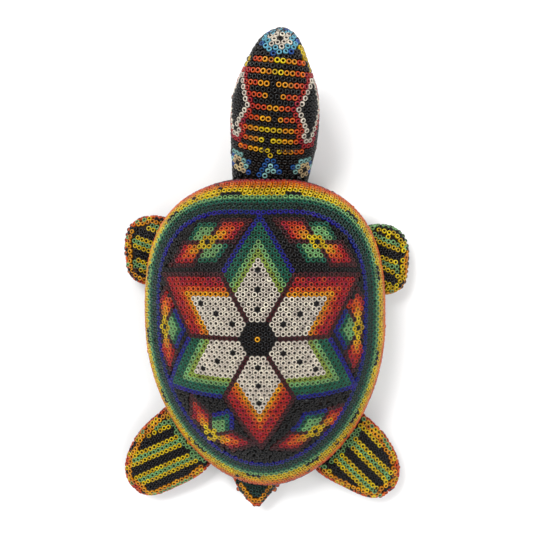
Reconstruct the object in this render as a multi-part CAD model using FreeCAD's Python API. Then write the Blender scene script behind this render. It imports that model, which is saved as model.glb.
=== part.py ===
import FreeCAD, Part

import math
import os

from FreeCAD import Vector

# Beaded turtle: carved wood cores pegged together, each coated with wax, and glass seed
# beads pressed into the wax. +Y points to the head, +Z up, and the origin lies on the
# resting plane under the middle of the star on the shell. All sizes are millimetres.

# ---- driving dimensions --------------------------------------------------------------

BEAD_PITCH = 2.15          # centre to centre of neighbouring beads in a row
BEAD_DEPTH = 1.5           # thickness of the bead layer
WAX_DEPTH = 1.2            # thickness of the wax layer under the beads
SKIN = BEAD_DEPTH + WAX_DEPTH

SHELL_HALF_WIDTH = 50.2
SHELL_FRONT = 60.0         # origin to the front edge of the shell
SHELL_REAR = 69.5          # origin to the rear edge of the shell
SHELL_POWER_FRONT = 2.8    # 2 is an ellipse, more is squarer
SHELL_POWER_REAR = 1.9
SHELL_MEAN_RADIUS = 57.0
SHELL_TILT = math.tan(math.radians(4.0))   # the shell rises towards the head
EDGE_HEIGHT = 14.5         # height of the widest line of the shell
LIP = 1.2                  # how far the front edge bulges over the neck
LIP_WIDTH = 22.0
LIP_START = 8              # the higher, the closer to the edge the lip starts
LIP_FLATNESS = 4           # the higher, the straighter the lip runs across

CROWN_HEIGHT = 50.0        # top of the dome, over the middle of the star
DOME_ROUND = 26.6          # fall of the dome with the square of the share of the outline
DOME_SHOULDER = 3.8        # extra fall with its sixth power, which rounds the shoulder
DOME_SHARES = (0.04, 0.15, 0.30, 0.45, 0.60, 0.72, 0.82, 0.90, 0.95)

# Profile from the shoulder round the edge to the belly: share of the outline, height. Its end
# runs below the resting plane, where the belly is cut flat.
EDGE_PROFILE = [
    (0.985, 18.9), (1.0, EDGE_HEIGHT), (0.985, 10.2), (0.94, 6.2), (0.87, 3.0), (0.78, 0.4),
    (0.66, -1.5),
]

# Heights that part the rows of the rim, over the middle of the shell.
RING_TOP = 31.7
RING_BOTTOM = 30.3
GREEN_BOTTOM = 25.9
YELLOW_BOTTOM = 24.3
AMBER_BOTTOM = 22.6
RED_BOTTOM = 19.0
BELLY_SIDE_BOTTOM = 1.9

CENTRE_STEPS = 3.5         # size of the black middle of the star, in bead steps
PETAL_STEPS = 13.4         # length of a petal's sides, in bead steps
FLOWER_RADIUS = 9.5
FLOWERS = {
    "front_left_flower_beads": (-21.0, 36.0),
    "front_right_flower_beads": (21.0, 36.0),
    "left_flower_beads": (-39.3, 2.0),
    "right_flower_beads": (39.3, 2.0),
    "rear_left_flower_beads": (-21.5, -41.0),
    "rear_right_flower_beads": (21.5, -41.0),
}
PETALS = (
    "star_front_petal_beads",
    "star_front_left_petal_beads",
    "star_rear_left_petal_beads",
    "star_rear_petal_beads",
    "star_rear_right_petal_beads",
    "star_front_right_petal_beads",
)

PEG_RADIUS = 3.0
PEG_GAP = 0.1              # glue gap around a peg

# Rim rows, each with its upper and lower height.
RIM_ROWS = {
    "blue_ring_beads": (RING_TOP, RING_BOTTOM),
    "rim_green_beads": (RING_BOTTOM, GREEN_BOTTOM),
    "rim_yellow_beads": (GREEN_BOTTOM, YELLOW_BOTTOM),
    "rim_amber_beads": (YELLOW_BOTTOM, AMBER_BOTTOM),
    "rim_red_beads": (AMBER_BOTTOM, RED_BOTTOM),
    "edge_beads": (RED_BOTTOM, EDGE_HEIGHT),
}

THROAT_DROP = 0.35         # the throat starts this many half heights under the middle
SNOUT_START = 106.3
NECK_END = 72.0
HEAD_MIDDLE = 6.5
CROWN_OUTLINE = [
    (-8.0, 70.0), (16.0, 70.0), (13.0, 90.0), (17.0, 107.0), (-2.0, 107.0), (-1.5, 90.0),
]

# ---- geometry helpers ----------------------------------------------------------------

OUTLINE_POINTS = 32
SECTION_POINTS = 16
DOME_WALK_STEPS = 40
BIG = 400.0
TIP_ROUND = math.radians(75.0)   # how steeply a limb's skin turns in at its very tip
LEAST_HALF = 0.5


def signed_power(value, power):
    return math.copysign(abs(value) ** power, value)


def closed_curve(points):
    """A smooth closed wire through the points."""
    curve = Part.BSplineCurve()
    # Evenly spaced parameters give every section the same knots, which keeps lofts light.
    steps = [float(index) for index in range(len(points) + 1)]
    curve.interpolate(points, PeriodicFlag=True, Parameters=steps)
    return Part.Wire(curve.toShape())


def loft(wires):
    return Part.makeLoft(wires, True, False)


def keep_large(shape, least=20.0):
    """The solids of a shape that are bigger than a crumb, as one shape."""
    solids = [solid for solid in shape.Solids if solid.Volume > least]
    if len(solids) == 1:
        return solids[0]
    return Part.makeCompound(solids)


# ---- body: dome, edge and flat belly in one surface -----------------------------------


def shell_radius(angle):
    """Distance from the axis to the shell's widest line, in the direction of angle."""
    front = math.sin(angle) > 0
    length = SHELL_FRONT if front else SHELL_REAR
    power = SHELL_POWER_FRONT if front else SHELL_POWER_REAR
    across = abs(math.cos(angle)) / SHELL_HALF_WIDTH
    along = abs(math.sin(angle)) / length
    return (across ** power + along ** power) ** (-1.0 / power)


def dome_height(share):
    return CROWN_HEIGHT - DOME_ROUND * share ** 2 - DOME_SHOULDER * share ** 6


def dome_point(across, along):
    """Where a point of the flat bead pattern lands on the dome, seen from above.

    The pattern is laid outwards from the middle of the star, bead against bead, so a
    distance in it is a distance along the dome's surface."""
    reach = math.hypot(across, along)
    if reach == 0:
        return Vector(0, 0, 0)
    angle = math.atan2(along, across)
    radius = shell_radius(angle)
    step = reach / DOME_WALK_STEPS
    plan = 0.0
    for _ in range(DOME_WALK_STEPS):
        share = plan / radius
        slope = (2 * DOME_ROUND * share + 6 * DOME_SHOULDER * share ** 5) / radius
        plan += step / math.hypot(1.0, slope)
    return Vector(plan * math.cos(angle), plan * math.sin(angle), 0)


def body_section(share, height, tilt):
    points = []
    for index in range(OUTLINE_POINTS):
        angle = 2.0 * math.pi * index / OUTLINE_POINTS
        radius = share * shell_radius(angle)
        x = radius * math.cos(angle)
        y = radius * math.sin(angle)
        if y > 0:
            y += LIP * share ** LIP_START * math.exp(-(x / LIP_WIDTH) ** LIP_FLATNESS)
        points.append(Vector(x, y, height + tilt * y))
    return closed_curve(points)


def body_solid(inset):
    """The body with its flat belly, and its whole surface moved inwards by inset."""
    curve = Part.BSplineCurve()
    profile = [(share, dome_height(share)) for share in DOME_SHARES] + EDGE_PROFILE
    points = [Vector(share * SHELL_MEAN_RADIUS, 0, height) for share, height in profile]
    curve.interpolate(points, InitialTangent=Vector(1, 0, 0), FinalTangent=Vector(-1, 0, 0))
    sections = []
    for point in points:
        tangent = curve.tangent(curve.parameter(point))[0]
        normal = Vector(-tangent.z, 0, tangent.x)
        moved = point - normal * inset
        tilt = SHELL_TILT * max(0.0, min(1.0, point.z / EDGE_HEIGHT))
        sections.append(body_section(moved.x / SHELL_MEAN_RADIUS, moved.z, tilt))
    return loft(sections).cut(slab(-BIG / 2, inset, low_tilt=0.0, high_tilt=0.0))


def slab(low, high, low_tilt=SHELL_TILT, high_tilt=SHELL_TILT):
    """All the space between two planes, each with its height over the origin and its tilt."""
    corners = [
        Vector(-BIG, -BIG, low - BIG * low_tilt),
        Vector(-BIG, BIG, low + BIG * low_tilt),
        Vector(-BIG, BIG, high + BIG * high_tilt),
        Vector(-BIG, -BIG, high - BIG * high_tilt),
    ]
    face = Part.Face(Part.makePolygon(corners + corners[:1]))
    return face.extrude(Vector(2 * BIG, 0, 0))


# ---- limbs: lofts of rounded sections along a bent line --------------------------------


def limb_section(centre, heading, pitch, half_width, half_height, power):
    """A rounded section across a limb. Heading is its direction in plan, pitch its climb."""
    side = Vector(math.sin(heading), -math.cos(heading), 0)
    up = Vector(-math.sin(pitch) * math.cos(heading), -math.sin(pitch) * math.sin(heading),
                math.cos(pitch))
    points = []
    for index in range(SECTION_POINTS):
        angle = 2.0 * math.pi * index / SECTION_POINTS
        across = half_width * signed_power(math.cos(angle), 2.0 / power)
        above = half_height * signed_power(math.sin(angle), 2.0 / power)
        points.append(centre + side * across + up * above)
    return closed_curve(points)


def limb_solid(stations, inset, power=2.3):
    """A limb through its stations, with its whole surface moved inwards by inset."""
    centres = [Vector(x, y, z) for x, y, z, _, _, _, _ in stations]
    radii = [(half_width + half_height) / 2 for _, _, _, half_width, half_height, _, _ in stations]
    last = len(stations) - 1
    sections = []
    for index, (_, _, _, half_width, half_height, heading, pitch) in enumerate(stations):
        before = max(index - 1, 0)
        after = min(index + 1, last)
        run = centres[after].distanceToPoint(centres[before])
        taper = math.atan2(radii[after] - radii[before], run)
        if index == 0:
            taper = 0.0
        if index == last:
            taper = -TIP_ROUND
        heading = math.radians(heading)
        pitch = math.radians(pitch)
        ahead = Vector(math.cos(pitch) * math.cos(heading), math.cos(pitch) * math.sin(heading),
                       math.sin(pitch))
        # The inset moves the skin along its own normal: inwards, and back where it tapers.
        centre = centres[index] + ahead * (inset * math.sin(taper))
        shrink = inset * math.cos(taper)
        sections.append(limb_section(centre, heading, pitch, max(half_width - shrink, LEAST_HALF),
                                     max(half_height - shrink, LEAST_HALF), power))
    return loft(sections)


# Each station: x, y, z of the middle, half width, half height, heading and pitch in degrees.
HEAD_STATIONS = [
    (0.8, 38.0, 11.0, 12.6, 8.2, 90.0, 0.0),
    (1.2, 44.5, 10.8, 13.7, 8.6, 88.0, 1.0),
    (1.6, 51.0, 10.6, 14.6, 9.0, 86.0, 2.0),
    (2.4, 61.0, 10.6, 15.8, 9.6, 84.0, 14.0),
    (3.5, 69.6, 13.8, 16.9, 10.8, 83.0, 28.0),
    (4.7, 78.3, 19.2, 17.7, 12.2, 83.0, 33.0),
    (5.5, 86.7, 24.8, 17.6, 13.2, 83.0, 29.0),
    (6.4, 95.3, 29.4, 16.1, 13.2, 84.0, 18.0),
    (7.0, 102.9, 31.4, 13.0, 11.8, 85.0, 6.0),
    (7.6, 109.6, 31.6, 9.8, 9.2, 85.0, -4.0),
    (8.2, 113.9, 31.2, 6.9, 6.4, 85.0, -8.0),
    (8.7, 116.5, 30.8, 3.8, 3.5, 85.0, -8.0),
    (8.8, 117.5, 30.6, 1.9, 1.8, 85.0, -8.0),
]

FRONT_FLIPPER_STATIONS = [
    (33.0, 27.0, 9.0, 12.0, 4.4, 0.0, -4.0),
    (38.0, 27.2, 8.9, 13.2, 4.5, 0.0, -4.0),
    (43.0, 27.4, 8.7, 14.2, 4.6, 0.0, -5.0),
    (50.0, 27.2, 7.9, 14.8, 4.6, 0.0, -8.0),
    (54.6, 26.6, 7.2, 13.6, 4.4, -3.0, -10.0),
    (57.6, 26.0, 6.7, 11.2, 3.9, -3.0, -10.0),
    (59.2, 25.6, 6.4, 8.0, 2.9, -3.0, -10.0),
    (59.8, 25.4, 6.3, 5.0, 1.9, -3.0, -10.0),
]

HIND_FLIPPER_STATIONS = [
    (24.0, -42.0, 8.8, 14.0, 4.4, -50.0, -2.0),
    (28.5, -47.0, 8.5, 15.4, 4.5, -50.0, -4.0),
    (33.0, -52.0, 8.2, 16.2, 4.6, -50.0, -5.0),
    (39.5, -58.0, 7.5, 15.4, 4.6, -50.0, -7.0),
    (45.0, -63.2, 6.8, 13.2, 4.4, -50.0, -8.0),
    (49.2, -68.0, 6.1, 10.4, 3.9, -50.0, -8.0),
    (51.4, -71.0, 5.7, 7.4, 3.0, -50.0, -8.0),
    (52.4, -72.6, 5.5, 4.6, 2.0, -50.0, -8.0),
]

TAIL_STATIONS = [
    (-3.0, -52.0, 9.0, 10.7, 4.6, -90.0, -4.0),
    (-3.4, -57.5, 8.7, 11.2, 4.5, -90.0, -4.0),
    (-3.8, -63.0, 8.4, 11.5, 4.4, -90.0, -4.0),
    (-4.2, -69.0, 7.8, 9.6, 4.1, -90.0, -4.0),
    (-4.4, -74.5, 7.2, 6.2, 3.5, -90.0, -4.0),
    (-4.3, -78.4, 6.8, 3.0, 2.5, -90.0, -4.0),
    (-4.2, -79.8, 6.6, 1.5, 1.4, -90.0, -4.0),
]

# The hand-carved left flippers sit a little further out and forward than the right ones.
FRONT_LEFT_SHIFT = (0.0, 4.0)
HIND_LEFT_SHIFT = (-5.0, -1.0)


def mirrored(stations, shift):
    """The left twin of a right flipper, moved by shift in plan."""
    across, along = shift
    return [(across - x, along + y, z, half_width, half_height, 180.0 - heading, pitch)
            for x, y, z, half_width, half_height, heading, pitch in stations]


LIMBS = {
    "head": HEAD_STATIONS,
    "front_right_flipper": FRONT_FLIPPER_STATIONS,
    "front_left_flipper": mirrored(FRONT_FLIPPER_STATIONS, FRONT_LEFT_SHIFT),
    "hind_right_flipper": HIND_FLIPPER_STATIONS,
    "hind_left_flipper": mirrored(HIND_FLIPPER_STATIONS, HIND_LEFT_SHIFT),
    "tail": TAIL_STATIONS,
}

# Where each peg crosses from the body into its limb: middle, direction, length, radius.
NECK_PEG = (Vector(2.2, 57.0, 11.5), Vector(0.1, 1.0, 0.24), 24.0, 3.0)
TAIL_PEG = (Vector(-3.6, -63.0, 8.4), Vector(-0.04, -1.0, -0.1), 16.0, 1.2)
FLIPPER_PEGS = {
    "front_right_flipper": (Vector(44.0, 27.2, 8.5), Vector(1.0, 0, -0.12), 15.0, 1.2),
    "front_left_flipper": (Vector(-44.0, 31.2, 8.5), Vector(-1.0, 0, -0.12), 15.0, 1.2),
    "hind_right_flipper": (Vector(34.5, -53.5, 8.0), Vector(0.64, -0.77, -0.12), 15.0, 1.2),
    "hind_left_flipper": (Vector(-37.5, -52.5, 8.0), Vector(-0.64, -0.77, -0.12), 15.0, 1.2),
}


def peg(middle, direction, length, radius):
    axis = Vector(direction)
    axis.normalize()
    return Part.makeCylinder(radius, length, middle - axis * (length / 2.0), axis)


def peg_hole(middle, direction, length, radius):
    """The hole for a peg, with the glue gap all round it."""
    return peg(middle, direction, length + 2 * PEG_GAP, radius + PEG_GAP)


def below_spine(stations, drop):
    """All the space under the middle line of a limb, lowered by drop half heights."""
    heading = math.radians(stations[0][5])
    ahead = Vector(math.cos(heading), math.sin(heading), 0)
    side = Vector(math.sin(heading), -math.cos(heading), 0)
    line = [Vector(x, y, z - drop * half_height) for x, y, z, _, half_height, _, _ in stations]
    line = [line[0] - ahead * BIG] + line + [line[-1] + ahead * BIG]
    origin = line[0]
    # The line is flattened into one vertical plane before it is swept sideways.
    flat = [origin + ahead * (p - origin).dot(ahead) + Vector(0, 0, p.z - origin.z) for p in line]
    floor = [Vector(flat[-1].x, flat[-1].y, -BIG), Vector(flat[0].x, flat[0].y, -BIG)]
    face = Part.Face(Part.makePolygon(flat + floor + flat[:1]))
    space = face.extrude(side * (2 * BIG))
    space.translate(side * -BIG)
    return space


def prism(points):
    """All the space above and below a closed outline drawn in plan."""
    base = [Vector(p.x, p.y, -BIG / 4) for p in points]
    return Part.Face(Part.makePolygon(base + base[:1])).extrude(Vector(0, 0, BIG / 2))


# ---- bead pattern on the dome -----------------------------------------------------------

SIDE_POINTS = 5


def pattern_point(turn, first, second):
    """A lattice point of the star: steps along two directions 60 degrees apart."""
    a = math.radians(60.0 + turn)
    b = math.radians(120.0 + turn)
    across = BEAD_PITCH * (first * math.cos(a) + second * math.cos(b))
    along = BEAD_PITCH * (first * math.sin(a) + second * math.sin(b))
    return dome_point(across, along)


def petal_outline(turn):
    """One petal of the star: a rhombus of the lattice, bent over the dome."""
    corners = [(0, 0), (PETAL_STEPS, 0), (PETAL_STEPS, PETAL_STEPS), (0, PETAL_STEPS)]
    points = []
    for (a0, b0), (a1, b1) in zip(corners, corners[1:] + corners[:1]):
        for index in range(SIDE_POINTS):
            part = index / SIDE_POINTS
            points.append(pattern_point(turn, a0 + (a1 - a0) * part, b0 + (b1 - b0) * part))
    return points


# ---- the pieces ---------------------------------------------------------------------------


def build_pieces():
    pieces = {}
    body_wood = body_solid(SKIN)
    body_wax = body_solid(BEAD_DEPTH)
    body_whole = body_solid(0.0)
    wood = {name: limb_solid(stations, SKIN) for name, stations in LIMBS.items()}
    wax = {name: limb_solid(stations, BEAD_DEPTH) for name, stations in LIMBS.items()}
    whole = {name: limb_solid(stations, 0.0) for name, stations in LIMBS.items()}

    # Wood: each limb butts against the body and is held by a peg glued into both.
    pegs = dict(FLIPPER_PEGS, head=NECK_PEG, tail=TAIL_PEG)
    core = body_wood
    for name, place in pegs.items():
        hole = peg_hole(*place)
        core = core.cut(hole)
        pieces[name + "_core"] = keep_large(wood[name].cut(body_wood).cut(hole))
    pieces["body_core"] = keep_large(core)
    pieces["neck_peg"] = peg(*NECK_PEG)
    pieces["tail_peg"] = peg(*TAIL_PEG)
    pieces["flipper_pegs"] = Part.makeCompound([peg(*place) for place in FLIPPER_PEGS.values()])

    # Wax: one coat over the shell, one over the belly, and one on each limb.
    upper = slab(EDGE_HEIGHT, BIG / 2)
    lower = slab(-BIG / 2, EDGE_HEIGHT)
    body_coat = body_wax.cut(list(wood.values())).cut(body_wood)
    pieces["shell_wax"] = keep_large(body_coat.common(upper))
    pieces["belly_wax"] = keep_large(body_coat.common(lower))
    for name in LIMBS:
        pieces[name + "_wax"] = keep_large(wax[name].cut(body_wax).cut(wood[name]))

    # Beads of the body: everything between wax and air that no limb covers.
    body_beads = body_whole.cut(list(wax.values())).cut(body_wax)
    field = keep_large(body_beads.common(slab(RING_TOP, BIG / 2)))
    for name, (top, bottom) in RIM_ROWS.items():
        pieces[name] = keep_large(body_beads.common(slab(bottom, top)))
    belly_side = slab(BELLY_SIDE_BOTTOM, EDGE_HEIGHT, low_tilt=0.0)
    belly_flat = slab(-BIG / 2, BELLY_SIDE_BOTTOM, high_tilt=0.0)
    pieces["belly_side_beads"] = keep_large(body_beads.common(belly_side))
    pieces["belly_beads"] = keep_large(body_beads.common(belly_flat))

    # The star, the flowers between its petals, and the dark ground that is left.
    centre = prism([pattern_point(60 * turn, CENTRE_STEPS, 0) for turn in range(6)])
    petals = {name: prism(petal_outline(60 * turn)) for turn, name in enumerate(PETALS)}
    pieces["star_centre_beads"] = keep_large(field.common(centre))
    for name, space in petals.items():
        pieces[name] = keep_large(field.common(space).cut(centre))
    ground = field.cut([centre] + list(petals.values()))
    for name, (x, y) in FLOWERS.items():
        disc = Part.makeCylinder(FLOWER_RADIUS, BIG / 2, Vector(x, y, -BIG / 4))
        pieces[name] = keep_large(ground.common(disc))
        ground = ground.cut(disc)
    pieces["ground_beads"] = keep_large(ground)

    # Beads of the limbs.
    for name in LIMBS:
        beads = whole[name].cut(body_whole).cut(wax[name])
        if name == "head":
            pieces.update(head_fields(beads))
            continue
        underside = below_spine(LIMBS[name], 0.0)
        pieces[name + "_top_beads"] = keep_large(beads.cut(underside))
        pieces[name + "_underside_beads"] = keep_large(beads.common(underside))
    return pieces


def head_fields(beads):
    """The bead fields of the head: neck, crown, cheeks with the eyes, snout and throat."""
    throat = below_spine(HEAD_STATIONS, THROAT_DROP)
    snout = Part.makeBox(BIG, BIG, BIG, Vector(-BIG / 2, SNOUT_START, -BIG / 2))
    neck = Part.makeBox(BIG, BIG, BIG, Vector(-BIG / 2, NECK_END - BIG, -BIG / 2))
    crown = prism([Vector(x, y, 0) for x, y in CROWN_OUTLINE])
    left = Part.makeBox(BIG, BIG, BIG, Vector(HEAD_MIDDLE - BIG, -BIG / 2, -BIG / 2))
    fields = {"throat_beads": keep_large(beads.common(throat))}
    above = beads.cut(throat)
    fields["snout_beads"] = keep_large(above.common(snout))
    fields["neck_beads"] = keep_large(above.common(neck))
    middle = above.cut([snout, neck])
    fields["crown_beads"] = keep_large(middle.common(crown))
    sides = middle.cut(crown)
    fields["left_cheek_beads"] = keep_large(sides.common(left))
    fields["right_cheek_beads"] = keep_large(sides.cut(left))
    return fields


os.makedirs("parts", exist_ok=True)
for node, shape in build_pieces().items():
    shape.exportStep("parts/" + node + ".step")
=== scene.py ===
import heapq
import itertools
import math

import bpy
import numpy as np
from mathutils import Matrix, Vector
from mathutils.bvhtree import BVHTree
from mathutils.kdtree import KDTree


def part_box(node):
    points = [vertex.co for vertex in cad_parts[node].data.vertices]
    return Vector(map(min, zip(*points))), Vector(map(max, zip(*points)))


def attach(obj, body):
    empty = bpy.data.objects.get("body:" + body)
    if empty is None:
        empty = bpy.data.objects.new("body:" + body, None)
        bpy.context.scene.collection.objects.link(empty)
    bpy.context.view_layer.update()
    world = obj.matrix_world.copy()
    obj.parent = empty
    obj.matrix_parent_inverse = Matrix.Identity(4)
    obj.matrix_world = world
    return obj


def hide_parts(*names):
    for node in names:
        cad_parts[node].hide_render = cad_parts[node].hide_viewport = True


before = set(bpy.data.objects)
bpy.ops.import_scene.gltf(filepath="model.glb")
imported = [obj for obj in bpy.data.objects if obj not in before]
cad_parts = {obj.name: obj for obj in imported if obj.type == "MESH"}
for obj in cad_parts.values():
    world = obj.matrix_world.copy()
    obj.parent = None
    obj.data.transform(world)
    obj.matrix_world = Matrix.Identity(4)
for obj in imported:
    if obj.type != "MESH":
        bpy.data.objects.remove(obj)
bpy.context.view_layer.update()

# Lengths are in millimetres until the meshes are made; MM turns them into metres.
MM = 0.001

# ---- sizes of the beadwork ----

PITCH = 2.15  # centre to centre in a row of beads on the shell
ROW = PITCH * 0.87  # centre to centre of two rows
BEAD_RADIUS = 1.03
BEAD_HEIGHT = 1.5
HOLE_RADIUS = 0.48
BEAD_SINK = 0.06  # how far a bead's top stays under the CAD skin
WAX_RISE = 0.35  # how far the wax is squeezed up between the beads
HEAD_PITCH = 2.26  # the beads of the head sit a little wider
HEAD_ROW = 2.31
SHELL_TILT = math.tan(math.radians(4.0))  # the shell rises towards the head
RING_HEIGHT = 31.0  # height of the blue ring over the middle of the shell
SHELL_POWER_FRONT = 2.8  # powers of the outline's curve: squarer in front, pointed behind
SHELL_POWER_REAR = 1.9

rng = np.random.default_rng(11)

# ---- colours, as sRGB shares ----

COLOURS = {
    "white": (0.76, 0.72, 0.66),
    "cream": (0.70, 0.61, 0.46),
    "black": (0.018, 0.022, 0.032),
    "amber": (0.76, 0.49, 0.03),
    "yellow": (0.74, 0.62, 0.02),
    "tangerine": (0.76, 0.39, 0.03),
    "orange": (0.72, 0.27, 0.05),
    "red": (0.58, 0.07, 0.09),
    "maroon": (0.24, 0.07, 0.09),
    "dark_green": (0.06, 0.19, 0.16),
    "teal": (0.07, 0.32, 0.24),
    "light_green": (0.40, 0.57, 0.35),
    "lime": (0.48, 0.55, 0.22),
    "cobalt": (0.05, 0.07, 0.44),
    "blue": (0.09, 0.28, 0.54),
    "sky": (0.34, 0.60, 0.68),
    "pale_blue": (0.46, 0.64, 0.62),
}


def unit(vector):
    return vector / np.linalg.norm(vector)


def linear(srgb):
    return [c / 12.92 if c <= 0.04045 else ((c + 0.055) / 1.055) ** 2.4 for c in srgb]


# ---- the CAD skin: surfaces that carry the beads ----


def values_of(items, label, kind=np.float32):
    """Three values for each of the items of a mesh."""
    values = np.empty(len(items) * 3, kind)
    items.foreach_get(label, values)
    return values.reshape(-1, 3)


def node_arrays(name):
    """Vertices in millimetres and triangles of a CAD node."""
    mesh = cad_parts[name].data
    mesh.calc_loop_triangles()
    vertices = values_of(mesh.vertices, "co").astype(float) / MM
    return vertices, values_of(mesh.loop_triangles, "vertices", np.int32)


class Skin:
    """The outer surface of a group of CAD nodes, for casting and snapping."""

    def __init__(self, names):
        vertices, triangles, start = [], [], 0
        for name in names:
            co, tri = node_arrays(name)
            vertices.append(co)
            triangles.append(tri + start)
            start += len(co)
        self.vertices = np.vstack(vertices)
        self.triangles = np.vstack(triangles)
        self.tree = BVHTree.FromPolygons(self.vertices.tolist(), self.triangles.tolist())

    def cast(self, origin, direction):
        """The first skin along a ray, its place and normal, or None."""
        hit, normal, _, _ = self.tree.ray_cast(Vector(origin), Vector(direction).normalized())
        if hit is None:
            return None
        if normal.dot(Vector(direction)) > 0:
            normal = -normal
        return np.array(hit), np.array(normal)

    def snap(self, point, outward, lift=1.0):
        """The skin nearest to a point held just outside: its place, normal and distance."""
        probe = Vector(point) + Vector(outward) * lift
        hit, normal, _, distance = self.tree.find_nearest(probe)
        if normal.dot(probe - hit) < 0:
            normal = -normal
        return np.array(hit), np.array(normal), distance

    def scatter(self, per_square_mm):
        """Random points over the surface, as many per area everywhere."""
        a, b, c = (self.vertices[self.triangles[:, k]] for k in range(3))
        cross = np.cross(b - a, c - a)
        area = 0.5 * np.linalg.norm(cross, axis=1)
        count = int(area.sum() * per_square_mm)
        pick = rng.choice(len(area), count, p=area / area.sum())
        u, v = rng.random(count), rng.random(count)
        flip = u + v > 1
        u[flip], v[flip] = 1 - u[flip], 1 - v[flip]
        points = a[pick] + (b[pick] - a[pick]) * u[:, None] + (c[pick] - a[pick]) * v[:, None]
        normals = cross[pick] / (2 * area[pick])[:, None]
        return points, normals


BEAD_NODES = sorted(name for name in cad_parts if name.endswith("_beads"))
FLIPPERS = ("front_left_flipper", "front_right_flipper", "hind_left_flipper", "hind_right_flipper")
LIMB_NODES = {limb: (limb + "_top_beads", limb + "_underside_beads")
              for limb in (*FLIPPERS, "tail")}
HEAD_NODES = ("crown_beads", "left_cheek_beads", "right_cheek_beads", "neck_beads",
              "snout_beads", "throat_beads")
OUTER_NODES = HEAD_NODES + sum(LIMB_NODES.values(), ())
BODY_NODES = tuple(name for name in BEAD_NODES if name not in OUTER_NODES)

whole_skin = Skin(BEAD_NODES)
body_skin = Skin(BODY_NODES)
head_skin = Skin(HEAD_NODES)
tail_skin = Skin(LIMB_NODES["tail"])

# ---- beads: one list for the whole figure ----


def tree_of(points):
    tree = KDTree(len(points))
    for index, point in enumerate(points):
        tree.insert(Vector(point), index)
    tree.balance()
    return tree


class Beads:
    """All beads laid so far: skin point, skin normal, colour and group."""

    def __init__(self):
        self.points, self.normals, self.colours, self.groups = [], [], [], []

    def add(self, point, normal, colour, group):
        self.points.append(np.asarray(point, float))
        self.normals.append(np.asarray(normal, float))
        self.colours.append(colour)
        self.groups.append(group)

    def tree(self):
        return tree_of(self.points)


beads = Beads()


def clear_of(tree, point, gap):
    _, index, distance = tree.find(Vector(point))
    return index is None or distance >= gap


# ---- shell dome: heights over a plan grid ----

GRID = 1.0
NORMAL_REACH = 1.2  # distance to each side over which the dome's slope is taken
WALK_STEPS = 60
WALK_REACH = 0.4  # distance ahead over which a walk takes the slope
RELAX_PUSH = 1.6  # above 1, so that long chains of beads even out quickly
GRID_X = np.arange(-46.0, 46.5, GRID)
GRID_Y = np.arange(-62.0, 56.5, GRID)
dome_grid = np.zeros((len(GRID_X), len(GRID_Y)))
for ix, gx in enumerate(GRID_X):
    for iy, gy in enumerate(GRID_Y):
        found = body_skin.cast((gx, gy, 90.0), (0, 0, -1))
        dome_grid[ix, iy] = found[0][2] if found else 0.0


def dome_height(x, y):
    """Height of the shell over points in plan, between the grid's casts."""
    fx = np.clip((x - GRID_X[0]) / GRID, 0, len(GRID_X) - 1.001)
    fy = np.clip((y - GRID_Y[0]) / GRID, 0, len(GRID_Y) - 1.001)
    ix, iy = fx.astype(int), fy.astype(int)
    tx, ty = fx - ix, fy - iy
    return (dome_grid[ix, iy] * (1 - tx) * (1 - ty) + dome_grid[ix + 1, iy] * tx * (1 - ty)
            + dome_grid[ix, iy + 1] * (1 - tx) * ty + dome_grid[ix + 1, iy + 1] * tx * ty)


def dome_normals(x, y):
    e = NORMAL_REACH
    gx = (dome_height(x + e, y) - dome_height(x - e, y)) / (2 * e)
    gy = (dome_height(x, y + e) - dome_height(x, y - e)) / (2 * e)
    n = np.stack([-gx, -gy, np.ones_like(gx)], axis=-1)
    return n / np.linalg.norm(n, axis=-1, keepdims=True)


def on_dome(plan):
    """Skin points and normals over places in plan."""
    x, y = plan[:, 0], plan[:, 1]
    return np.column_stack([plan, dome_height(x, y)]), dome_normals(x, y)


def walk_dome(start, offsets):
    """Carries flat offsets from a start point along straight walks over the dome."""
    reach = np.linalg.norm(offsets, axis=1)
    heading = offsets / np.maximum(reach, 1e-9)[:, None]
    step = reach / WALK_STEPS
    position = np.repeat(np.asarray(start, float)[None, :], len(offsets), axis=0)
    for _ in range(WALK_STEPS):
        here = dome_height(position[:, 0], position[:, 1])
        ahead = position + heading * WALK_REACH
        slope = (dome_height(ahead[:, 0], ahead[:, 1]) - here) / WALK_REACH
        position = position + heading * (step / np.hypot(1.0, slope))[:, None]
    return position


def relax_on_dome(plan, edges, rounds, fixed=()):
    """Evens out the spacing of linked beads over the dome, keeping fixed ones in place."""
    plan = plan.copy()
    a, b = edges[:, 0], edges[:, 1]
    free = np.ones(len(plan))
    free[list(fixed)] = 0.0
    count = np.bincount(np.concatenate([a, b]), minlength=len(plan)).clip(1)
    for _ in range(rounds):
        z = dome_height(plan[:, 0], plan[:, 1])
        flat = plan[b] - plan[a]
        length = np.sqrt((flat ** 2).sum(axis=1) + (z[b] - z[a]) ** 2)
        push = flat * ((length - PITCH) / np.maximum(length, 0.1))[:, None] * 0.5
        move = np.zeros_like(plan)
        np.add.at(move, a, push)
        np.add.at(move, b, -push)
        plan += move * (free / count)[:, None] * RELAX_PUSH
    return plan


# ---- star ----

PETALS = (30, 90, 150, 210, 270, 330)  # degrees; 90 points at the head
COOL = (90, 210, 330)
PETAL_SIDE = 13  # bead steps along a petal's side
STAR_ROUNDS = 400
FLOWER_ROUNDS = 80
COOL_LAYERS = ("teal", "teal", "light_green", "lime")
WARM_LAYERS = ("red", "red", "orange", "amber")


def compass(degrees):
    return np.array([math.cos(math.radians(degrees)), math.sin(math.radians(degrees))])


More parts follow.
